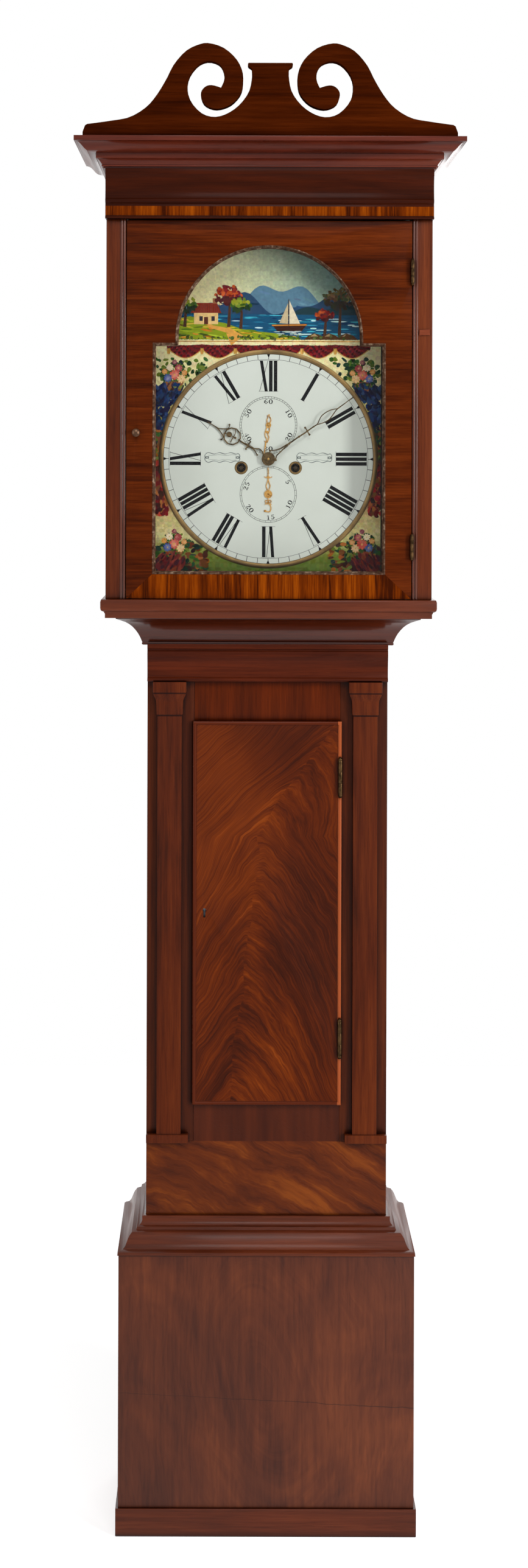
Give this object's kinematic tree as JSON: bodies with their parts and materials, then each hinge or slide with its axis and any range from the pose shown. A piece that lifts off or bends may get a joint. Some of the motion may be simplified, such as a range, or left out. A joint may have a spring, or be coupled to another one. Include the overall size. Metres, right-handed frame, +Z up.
{
  "type": "tall case clock",
  "caption": "Mahogany tall case clock with scrolled pediment, arched glazed hood door, painted dial, pilastered trunk with a figured door, movement, weights and seconds pendulum.",
  "frame": {"origin": "centre of the bounding box in plan, at the floor", "axes": "+Z up, front faces -Y, +X to the right as seen from the front"},
  "size_m": [0.5736, 0.2912, 2.2114],
  "materials": {
    "mahogany": "glossy",
    "figured_mahogany": "glossy",
    "softwood": "matte",
    "brass": "satin",
    "steel": "satin",
    "lead": "matte",
    "gut": "matte",
    "painted_iron": "satin",
    "glass": "clear"
  },
  "bodies": {
    "case": {"backboard": "softwood", "base_front": "mahogany", "base_side_left": "mahogany", "base_side_right": "mahogany", "skirting": "mahogany", "base_moulding": "mahogany", "trunk_side_left": "mahogany", "trunk_side_right": "mahogany", "trunk_stile_left": "mahogany", "trunk_stile_right": "mahogany", "trunk_upper_rail": "mahogany", "trunk_lower_panel": "figured_mahogany", "pilaster_left": "mahogany", "pilaster_right": "mahogany", "throat_moulding": "mahogany", "trunk_hinge_upper": "brass", "trunk_hinge_lower": "brass", "seatboard": "softwood", "movement_back_plate": "brass", "movement_front_plate": "brass", "dial": "painted_iron", "bell": "brass", "going_line": "gut", "strike_line": "gut"},
    "trunk_door": {"trunk_door": "figured_mahogany", "trunk_door_leaf_upper": "brass", "trunk_door_leaf_lower": "brass"},
    "lock_bolt": {"lock_bolt": "steel"},
    "hood": {"hood_side_left": "mahogany", "hood_side_right": "mahogany", "hood_stile_left": "mahogany", "hood_stile_right": "mahogany", "hood_frieze": "mahogany", "cornice": "mahogany", "hood_base_moulding": "mahogany", "hood_top_board": "softwood", "pediment": "mahogany", "hood_hinge_upper": "brass", "hood_hinge_lower": "brass"},
    "hood_door": {"hood_door_frame": "mahogany", "hood_glass": "glass", "hood_door_leaf_upper": "brass", "hood_door_leaf_lower": "brass"},
    "hood_knob": {"hood_knob": "brass"},
    "centre_arbor": {"centre_arbor": "brass", "minute_hand": "brass"},
    "hour_hand": {"hour_hand": "brass"},
    "minute_wheel": {"minute_wheel": "brass"},
    "great_wheel": {"going_great_wheel": "brass"},
    "third_wheel": {"third_wheel": "brass"},
    "escape_wheel": {"escape_wheel": "brass", "seconds_hand": "brass"},
    "date_hand": {"date_hand": "brass"},
    "going_barrel": {"going_barrel": "brass"},
    "strike_barrel": {"strike_barrel": "brass"},
    "going_weight": {"going_weight": "lead"},
    "strike_weight": {"strike_weight": "lead"},
    "pallets": {"pallets": "steel"},
    "pendulum": {"pendulum": "brass"},
    "hammer": {"hammer": "steel"}
  },
  "joints": [
    {"name": "hood_slide", "type": "slide", "parent": "case", "child": "hood", "axis": [0, -1, 0], "range_m": [0, 0.26]},
    {"name": "hood_door_swing", "type": "hinge", "parent": "hood", "child": "hood_door", "pos_m": [0.2115, -0.10475, 1.473], "axis": [0, 0, 1], "range_deg": [0, 160]},
    {"name": "hood_knob_turn", "type": "hinge", "parent": "hood_door", "child": "hood_knob", "pos_m": [-0.1963, -0.09985, 1.641], "axis": [0, 1, 0], "range_deg": [0, 90]},
    {"name": "trunk_door_swing", "type": "hinge", "parent": "case", "child": "trunk_door", "pos_m": [0.1095, -0.04935, 0.7329], "axis": [0, 0, 1], "range_deg": [0, 165]},
    {"name": "lock_bolt_slide", "type": "slide", "parent": "trunk_door", "child": "lock_bolt", "axis": [-1, 0, 0], "range_m": [0, 0.009]},
    {"name": "centre_turn", "type": "hinge", "parent": "case", "child": "centre_arbor", "pos_m": [0, 0, 1.603], "axis": [0, 1, 0], "continuous": true},
    {"name": "hour_turn", "type": "hinge", "parent": "case", "child": "hour_hand", "pos_m": [0, 0, 1.603], "axis": [0, 1, 0], "continuous": true},
    {"name": "minute_wheel_turn", "type": "hinge", "parent": "case", "child": "minute_wheel", "pos_m": [-0.02404, 0, 1.62704], "axis": [0, 1, 0], "continuous": true},
    {"name": "great_wheel_turn", "type": "hinge", "parent": "case", "child": "great_wheel", "pos_m": [0.0406, 0, 1.5896], "axis": [0, 1, 0], "continuous": true},
    {"name": "third_wheel_turn", "type": "hinge", "parent": "case", "child": "third_wheel", "pos_m": [0.00816, 0, 1.63062], "axis": [0, 1, 0], "continuous": true},
    {"name": "escape_wheel_turn", "type": "hinge", "parent": "case", "child": "escape_wheel", "pos_m": [0, 0, 1.6537], "axis": [0, 1, 0], "continuous": true},
    {"name": "date_turn", "type": "hinge", "parent": "case", "child": "date_hand", "pos_m": [0, 0, 1.55], "axis": [0, 1, 0], "continuous": true},
    {"name": "going_weight_drop", "type": "slide", "parent": "case", "child": "going_weight", "axis": [0, 0, -1], "range_m": [0, 1.12], "deforming": ["going_line"]},
    {"name": "strike_weight_drop", "type": "slide", "parent": "case", "child": "strike_weight", "axis": [0, 0, -1], "range_m": [0, 1.12], "deforming": ["strike_line"]},
    {"name": "going_barrel_turn", "type": "hinge", "parent": "case", "child": "going_barrel", "pos_m": [0.0406, 0, 1.5896], "axis": [0, 1, 0], "range_deg": [-4903, 0]},
    {"name": "strike_barrel_turn", "type": "hinge", "parent": "case", "child": "strike_barrel", "pos_m": [-0.0406, 0, 1.5896], "axis": [0, 1, 0], "range_deg": [-4903, 0]},
    {"name": "pendulum_swing", "type": "hinge", "parent": "case", "child": "pendulum", "pos_m": [0, 0.07565, 1.6792], "axis": [0, 1, 0], "range_deg": [-3, 3]},
    {"name": "pallets_rock", "type": "hinge", "parent": "case", "child": "pallets", "pos_m": [0, 0, 1.6792], "axis": [0, 1, 0], "range_deg": [-3, 3]},
    {"name": "hammer_swing", "type": "hinge", "parent": "case", "child": "hammer", "pos_m": [-0.066, 0, 1.673], "axis": [0, 1, 0], "range_deg": [-14, 1.2], "stiffness_Nm_per_rad": 0.3}
  ],
  "couplings": [
    {"joint": "hour_turn", "follows": "centre_turn", "ratio": 0.083333},
    {"joint": "minute_wheel_turn", "follows": "centre_turn", "ratio": -1},
    {"joint": "great_wheel_turn", "follows": "centre_turn", "ratio": -0.083333},
    {"joint": "third_wheel_turn", "follows": "centre_turn", "ratio": -8},
    {"joint": "escape_wheel_turn", "follows": "centre_turn", "ratio": 60},
    {"joint": "date_turn", "follows": "centre_turn", "ratio": 0.0013441},
    {"joint": "going_barrel_turn", "follows": "going_weight_drop", "rad_per_m": -76.336},
    {"joint": "strike_barrel_turn", "follows": "strike_weight_drop", "rad_per_m": -76.336},
    {"joint": "pallets_rock", "follows": "pendulum_swing", "ratio": 1}
  ]
}
